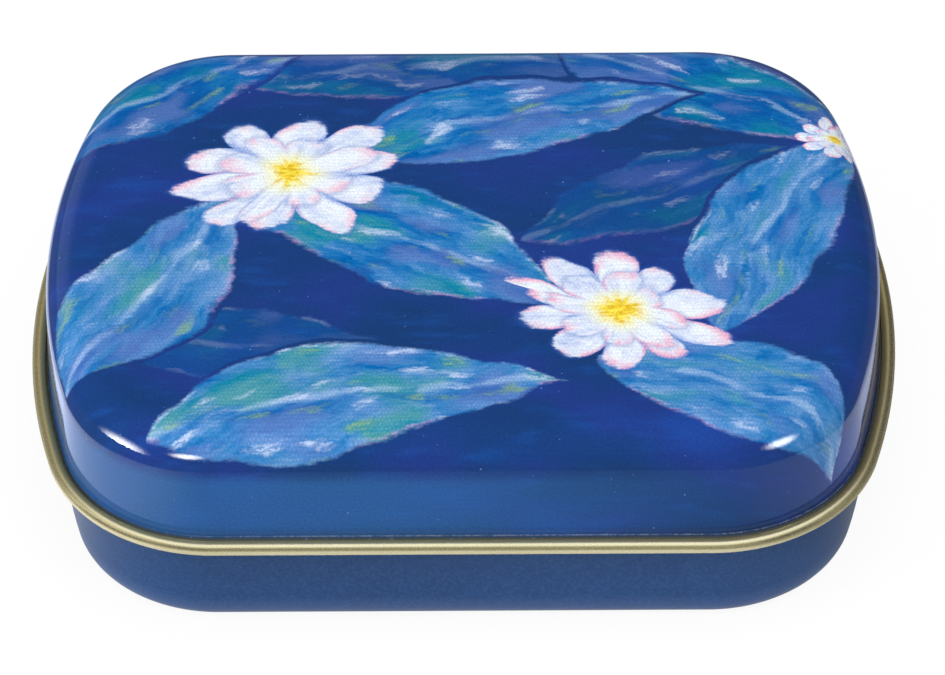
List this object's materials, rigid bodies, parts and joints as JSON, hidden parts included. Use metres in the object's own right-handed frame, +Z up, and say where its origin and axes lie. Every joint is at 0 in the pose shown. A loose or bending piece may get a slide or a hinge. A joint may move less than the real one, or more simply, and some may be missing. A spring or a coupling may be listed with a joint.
{
  "type": "hinged pocket tin",
  "caption": "Shut pocket tin of drawn tinplate: hinged lid with a rolled gold bead and a floral print, plain base with a hemmed rim.",
  "frame": {"origin": "centre of the tin's plan, on the surface it stands on", "axes": "+X along the tin's length, +Y towards the hinge, +Z up"},
  "size_m": [0.062, 0.0474, 0.0169],
  "materials": {
    "printed_lid": "glossy varnished print, gold lacquer on the inside and the bead",
    "printed_base": "satin varnished plain blue, gold lacquer inside",
    "steel_wire": "bright drawn wire"
  },
  "bodies": {
    "base": {"base": "printed_base"},
    "lid": {"lid": "printed_lid", "hinge_wire": "steel_wire"}
  },
  "joints": [
    {"name": "lid_hinge", "type": "hinge", "parent": "base", "child": "lid", "pos_m": [0, 0.02324, 0.0082], "axis": [-1, 0, 0], "range_deg": [0, 110]}
  ]
}
